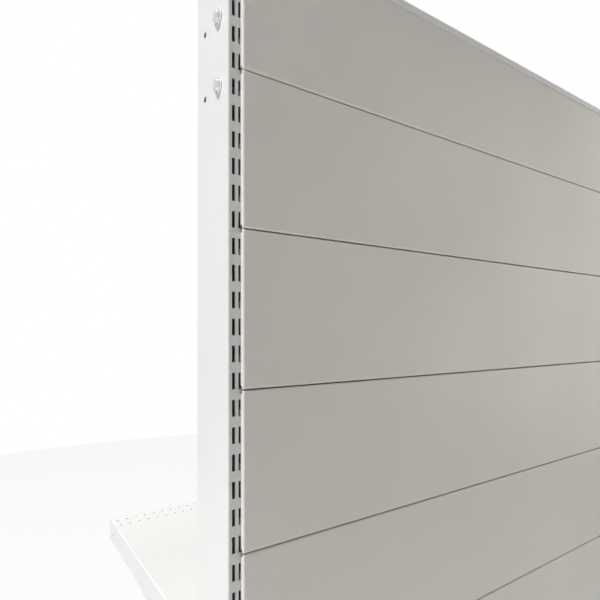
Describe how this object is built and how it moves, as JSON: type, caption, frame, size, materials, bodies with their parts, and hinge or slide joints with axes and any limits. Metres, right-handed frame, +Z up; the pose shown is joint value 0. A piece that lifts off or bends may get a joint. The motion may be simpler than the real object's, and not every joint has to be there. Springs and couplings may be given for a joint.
{
  "type": "gondola shelving unit",
  "caption": "Double-sided store gondola bay: slotted uprights, hooked back panels, bracket shelves, base decks and kick plates.",
  "frame": {"origin": "on the floor, at the middle of the unit", "axes": "+X along the bay, -Y out of the near side, +Z up"},
  "size_m": [0.9264, 0.967, 1.8],
  "materials": {
    "powder_coat": "white powder coat, fine orange peel, half gloss",
    "zinc": "bright zinc plate",
    "plastic": "moulded plastic, light grey"
  },
  "bodies": {
    "frame": {"upright_left": "powder_coat", "upright_right": "powder_coat", "top_beam": "powder_coat", "base_beam": "powder_coat", "upright_cap_left": "plastic", "upright_cap_right": "plastic", "upright_shoe_left": "plastic", "upright_shoe_right": "plastic", "beam_bolts": "zinc", "beam_washers": "zinc", "beam_nuts": "zinc", "leveller_nuts": "zinc", "near_panel_01": "powder_coat", "near_panel_02": "powder_coat", "near_panel_03": "powder_coat", "near_panel_04": "powder_coat", "near_panel_05": "powder_coat", "near_panel_06": "powder_coat", "near_panel_07": "powder_coat", "near_panel_08": "powder_coat", "near_panel_09": "powder_coat", "near_panel_10": "powder_coat", "near_panel_11": "powder_coat", "near_leg_left": "powder_coat", "near_leg_right": "powder_coat", "far_panel_01": "powder_coat", "far_panel_02": "powder_coat", "far_panel_03": "powder_coat", "far_panel_04": "powder_coat", "far_panel_05": "powder_coat", "far_panel_06": "powder_coat", "far_panel_07": "powder_coat", "far_panel_08": "powder_coat", "far_panel_09": "powder_coat", "far_panel_10": "powder_coat", "far_panel_11": "powder_coat", "far_leg_left": "powder_coat", "far_leg_right": "powder_coat"},
    "near_leveller_left": {"near_leveller_left": "zinc"},
    "near_leveller_right": {"near_leveller_right": "zinc"},
    "near_base_deck": {"near_base_deck": "powder_coat"},
    "near_kick_plate": {"near_kick_plate": "powder_coat"},
    "far_leveller_left": {"far_leveller_left": "zinc"},
    "far_leveller_right": {"far_leveller_right": "zinc"},
    "far_base_deck": {"far_base_deck": "powder_coat"},
    "far_kick_plate": {"far_kick_plate": "powder_coat"},
    "top_cover": {"top_cover": "powder_coat"},
    "near_shelf_brackets": {"near_shelf_bracket_left": "powder_coat", "near_shelf_bracket_right": "powder_coat"},
    "near_shelf": {"near_shelf": "powder_coat", "near_shelf_stiffener": "powder_coat"},
    "far_lower_shelf_brackets": {"far_lower_shelf_bracket_left": "powder_coat", "far_lower_shelf_bracket_right": "powder_coat"},
    "far_lower_shelf": {"far_lower_shelf": "powder_coat", "far_lower_shelf_stiffener": "powder_coat"},
    "far_upper_shelf_brackets": {"far_upper_shelf_bracket_left": "powder_coat", "far_upper_shelf_bracket_right": "powder_coat"},
    "far_upper_shelf": {"far_upper_shelf": "powder_coat", "far_upper_shelf_stiffener": "powder_coat"}
  },
  "joints": [
    {"name": "near_shelf_unhook", "type": "slide", "parent": "frame", "child": "near_shelf_brackets", "axis": [0, 0, 1], "range_m": [0, 0.007]},
    {"name": "near_shelf_lift", "type": "slide", "parent": "near_shelf_brackets", "child": "near_shelf", "axis": [0, 0, 1], "range_m": [0, 0.06]},
    {"name": "far_lower_shelf_unhook", "type": "slide", "parent": "frame", "child": "far_lower_shelf_brackets", "axis": [0, 0, 1], "range_m": [0, 0.007]},
    {"name": "far_lower_shelf_lift", "type": "slide", "parent": "far_lower_shelf_brackets", "child": "far_lower_shelf", "axis": [0, 0, 1], "range_m": [0, 0.06]},
    {"name": "far_upper_shelf_unhook", "type": "slide", "parent": "frame", "child": "far_upper_shelf_brackets", "axis": [0, 0, 1], "range_m": [0, 0.007]},
    {"name": "far_upper_shelf_lift", "type": "slide", "parent": "far_upper_shelf_brackets", "child": "far_upper_shelf", "axis": [0, 0, 1], "range_m": [0, 0.06]},
    {"name": "near_deck_lift", "type": "slide", "parent": "frame", "child": "near_base_deck", "axis": [0, 0, 1], "range_m": [0, 0.06]},
    {"name": "near_kick_pull", "type": "slide", "parent": "frame", "child": "near_kick_plate", "axis": [0, -1, 0], "range_m": [0, 0.06]},
    {"name": "near_leveller_left_screw", "type": "slide", "parent": "frame", "child": "near_leveller_left", "axis": [0, 0, -1], "range_m": [0, 0.012]},
    {"name": "near_leveller_right_screw", "type": "slide", "parent": "frame", "child": "near_leveller_right", "axis": [0, 0, -1], "range_m": [0, 0.012]},
    {"name": "far_deck_lift", "type": "slide", "parent": "frame", "child": "far_base_deck", "axis": [0, 0, 1], "range_m": [0, 0.06]},
    {"name": "far_kick_pull", "type": "slide", "parent": "frame", "child": "far_kick_plate", "axis": [0, 1, 0], "range_m": [0, 0.06]},
    {"name": "far_leveller_left_screw", "type": "slide", "parent": "frame", "child": "far_leveller_left", "axis": [0, 0, -1], "range_m": [0, 0.012]},
    {"name": "far_leveller_right_screw", "type": "slide", "parent": "frame", "child": "far_leveller_right", "axis": [0, 0, -1], "range_m": [0, 0.012]},
    {"name": "cover_lift", "type": "slide", "parent": "frame", "child": "top_cover", "axis": [0, 0, 1], "range_m": [0, 0.05]}
  ]
}
